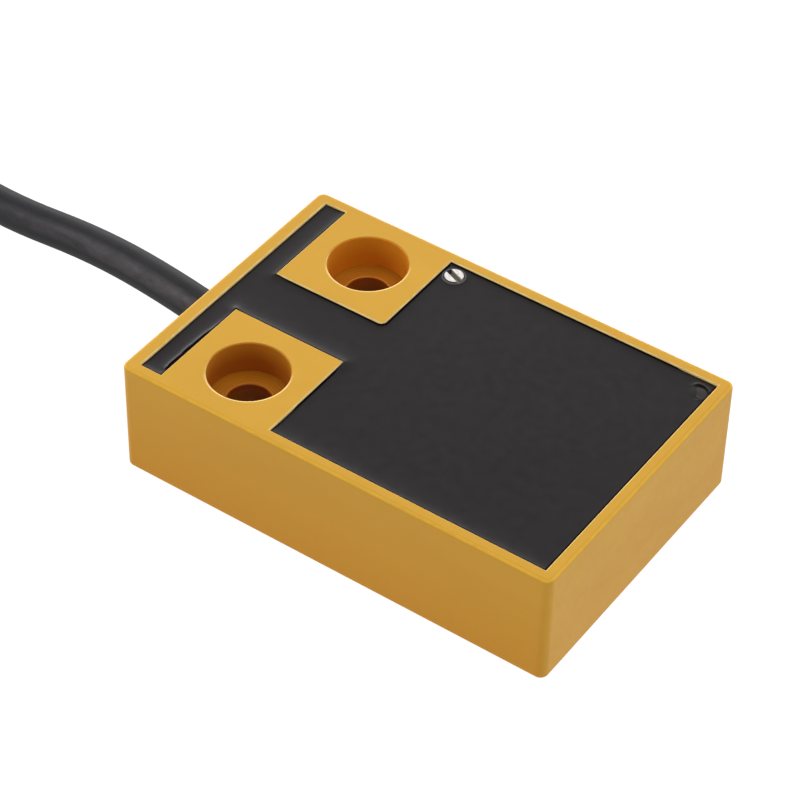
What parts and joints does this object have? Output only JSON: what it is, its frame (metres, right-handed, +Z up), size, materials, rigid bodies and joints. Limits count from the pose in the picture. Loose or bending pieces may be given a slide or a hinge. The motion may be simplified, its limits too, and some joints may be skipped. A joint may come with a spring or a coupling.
{
  "type": "capacitive proximity sensor",
  "caption": "Flat rectangular proximity sensor: yellow moulded housing potted in black resin, counterbored mounting holes, multi-turn sensitivity trimmer and a moulded-in cable.",
  "frame": {"origin": "centre of the sensing face, which is the plain underside", "axes": "+X along the length, away from the cable; +Y across the width, towards the trimmer's side; +Z up, from the sensing face to the potted side"},
  "size_m": [0.2125, 0.0426, 0.024],
  "materials": {
    "moulded_housing": "satin",
    "potting_resin": "satin",
    "copper": "satin",
    "board_laminate": "satin",
    "tinned_sheet": "satin",
    "solder": "bright",
    "trimmer_plastic": "satin",
    "trimmer_resin": "satin",
    "trimmer_ceramic": "matt",
    "resistive_track": "matt",
    "seal_rubber": "matt",
    "nickelled_brass": "satin",
    "spring_metal": "bright",
    "carriage_plastic": "satin",
    "collar_plastic": "satin",
    "led_resin": "gloss",
    "chip_plastic": "matt",
    "tantalum_plastic": "satin",
    "capacitor_ceramic": "matt",
    "ferrite": "matt",
    "cable_sheath": "satin",
    "brown_insulation": "satin",
    "blue_insulation": "satin",
    "black_insulation": "satin",
    "tie_nylon": "satin"
  },
  "bodies": {
    "sensor": {"housing": "moulded_housing", "potting": "potting_resin", "sensing_electrode": "copper", "guard_ring": "copper", "electrode_board": "board_laminate", "circuit_board": "board_laminate", "shield_plate": "tinned_sheet", "board_links": "tinned_sheet", "trimmer_pins": "tinned_sheet", "led_leads": "tinned_sheet", "solder_joints": "solder", "tinned_tips": "solder", "trimmer_shell": "trimmer_plastic", "trimmer_base": "trimmer_resin", "trimmer_element": "trimmer_ceramic", "trimmer_tracks": "resistive_track", "trimmer_seal": "seal_rubber", "cable_grommet": "seal_rubber", "screw_collar": "collar_plastic", "led_lens": "led_resin", "oscillator_chip": "chip_plastic", "comparator_chip": "chip_plastic", "voltage_regulator": "chip_plastic", "output_transistor": "chip_plastic", "protection_diodes": "chip_plastic", "chip_resistors": "chip_plastic", "tantalum_capacitor": "tantalum_plastic", "chip_capacitors": "capacitor_ceramic", "filter_choke": "ferrite", "inner_sheath": "cable_sheath", "cable": "cable_sheath", "cable_hank": "cable_sheath", "cable_end": "cable_sheath", "cable_clamp": "tinned_sheet", "brown_core": "brown_insulation", "brown_lead": "brown_insulation", "blue_core": "blue_insulation", "blue_lead": "blue_insulation", "black_core": "black_insulation", "black_lead": "black_insulation", "hank_tie": "tie_nylon"},
    "adjuster": {"trimmer_screw": "nickelled_brass", "screw_clip": "spring_metal"},
    "carriage": {"wiper_carriage": "carriage_plastic", "wiper": "spring_metal"}
  },
  "joints": [
    {"name": "trimmer_turn", "type": "hinge", "parent": "sensor", "child": "adjuster", "pos_m": [-0.00755, 0.01645, 0.0159], "axis": [0, 0, 1], "range_deg": [-4500, 4500]},
    {"name": "carriage_slide", "type": "slide", "parent": "sensor", "child": "carriage", "axis": [0, 0, 1], "range_m": [-0.00287, 0.00287]}
  ],
  "couplings": [
    {"joint": "trimmer_turn", "follows": "carriage_slide", "rad_per_m": -27318}
  ]
}
